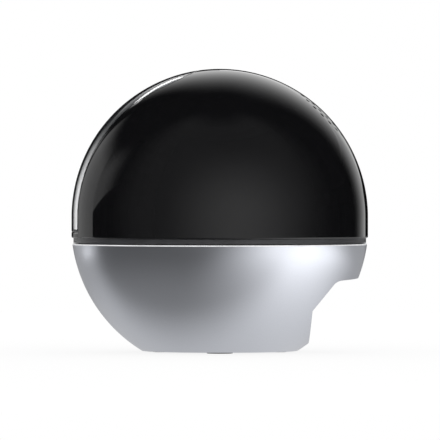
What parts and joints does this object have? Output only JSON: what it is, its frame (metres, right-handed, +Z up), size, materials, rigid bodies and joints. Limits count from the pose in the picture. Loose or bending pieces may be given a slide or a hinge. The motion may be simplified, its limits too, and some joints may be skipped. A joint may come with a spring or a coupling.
{
  "type": "indoor security camera",
  "caption": "Ball-shaped desk security camera: a glossy dome with a smoked window strip turns on a silver base, and a lens tilts inside.",
  "frame": {"origin": "centre of the underside, on the surface that the feet stand on", "axes": "+Z up along the pan axis, -Y to the front where the window is, +Y to the sockets at the rear, +X to the camera's own left, which is the side that the picture shows"},
  "size_m": [0.102, 0.102, 0.0974],
  "materials": {
    "dome_gloss": "piano black, polished",
    "smoked_window": "smoked clear plastic, polished",
    "silver_paint": "metallic silver paint, satin",
    "dark_plastic": "moulded, fine texture",
    "black_rubber": "matte",
    "foam": "matte foam",
    "zinc_steel": "zinc plated",
    "bearing_steel": "ground and polished",
    "brass": "machined",
    "white_nylon": "moulded",
    "green_board": "solder mask, semi-gloss",
    "tin_plate": "pressed, bright",
    "white_cap": "moulded",
    "blue_sleeve": "shrink sleeve",
    "red_wire": "wire insulation",
    "black_mesh": "woven acoustic mesh",
    "lens_black": "satin",
    "lens_coating": "coated glass"
  },
  "bodies": {
    "base": {"base_shell": "silver_paint", "base_cover": "dark_plastic", "foot_pads": "black_rubber", "tripod_insert": "brass", "ballast_plate": "zinc_steel", "cover_screws": "zinc_steel", "main_board": "green_board", "board_screws": "zinc_steel", "power_socket": "dark_plastic", "card_socket": "tin_plate", "reset_switch": "dark_plastic", "shield_can": "tin_plate", "capacitors": "blue_sleeve", "slip_ring_core": "brass", "pan_motor": "zinc_steel", "motor_screws": "zinc_steel", "motor_lead": "red_wire", "bearing_frame": "dark_plastic", "frame_screws": "zinc_steel", "bearing_outer_ring": "bearing_steel"},
    "memory_card": {"memory_card": "dark_plastic"},
    "reset_button": {"reset_button": "white_cap"},
    "bearing_cage": {"bearing_balls": "bearing_steel", "bearing_cage": "brass"},
    "pan_drive": {"pan_shaft": "bearing_steel", "pan_pinion": "white_nylon"},
    "head": {"turntable": "dark_plastic", "bearing_inner_ring": "bearing_steel", "hub_nut": "zinc_steel", "pan_gear": "white_nylon", "gear_screws": "zinc_steel", "slip_ring_case": "white_cap", "dome": "dome_gloss", "dome_screws": "zinc_steel", "front_window": "smoked_window", "window_gasket": "foam", "speaker_mesh": "black_mesh", "speaker_gasket": "foam", "speaker": "zinc_steel", "speaker_bracket": "dark_plastic", "speaker_screws": "zinc_steel", "yoke": "dark_plastic", "yoke_screws": "zinc_steel", "tilt_bushings": "brass", "tilt_motor": "zinc_steel", "tilt_motor_screws": "zinc_steel", "head_board": "green_board", "head_board_screws": "zinc_steel", "heat_sink": "tin_plate", "microphone": "tin_plate"},
    "tilt_drive": {"tilt_shaft": "bearing_steel", "tilt_pinion": "white_nylon"},
    "eye": {"eye_front": "dark_plastic", "eye_rear": "dark_plastic", "eye_screws": "zinc_steel", "tilt_pins": "bearing_steel", "tilt_gear": "white_nylon", "lens_barrel": "lens_black", "lens_glass": "lens_coating", "sensor_and_lamps": "green_board"}
  },
  "joints": [
    {"name": "head_pan", "type": "hinge", "parent": "base", "child": "head", "pos_m": [0, 0, 0.0352], "axis": [0, 0, 1], "continuous": true},
    {"name": "cage_turn", "type": "hinge", "parent": "base", "child": "bearing_cage", "pos_m": [0, 0, 0.0352], "axis": [0, 0, 1], "continuous": true},
    {"name": "pan_pinion_turn", "type": "hinge", "parent": "base", "child": "pan_drive", "pos_m": [0, -0.0264, 0.0352], "axis": [0, 0, 1], "continuous": true},
    {"name": "eye_tilt", "type": "hinge", "parent": "head", "child": "eye", "pos_m": [0, 0, 0.059], "axis": [-1, 0, 0], "range_deg": [-15, 65]},
    {"name": "tilt_pinion_turn", "type": "hinge", "parent": "head", "child": "tilt_drive", "pos_m": [0, 0.0144, 0.059], "axis": [-1, 0, 0], "range_deg": [-195, 45]},
    {"name": "reset_press", "type": "slide", "parent": "base", "child": "reset_button", "axis": [0, -1, 0], "range_m": [0, 0.0005], "stiffness_N_per_m": 800, "springref_m": -0.0003},
    {"name": "card_slide", "type": "slide", "parent": "base", "child": "memory_card", "axis": [0, 1, 0], "range_m": [0, 0.012]}
  ],
  "couplings": [
    {"joint": "cage_turn", "follows": "head_pan", "ratio": 0.45745},
    {"joint": "pan_pinion_turn", "follows": "head_pan", "ratio": -4.5},
    {"joint": "tilt_pinion_turn", "follows": "eye_tilt", "ratio": -3}
  ]
}
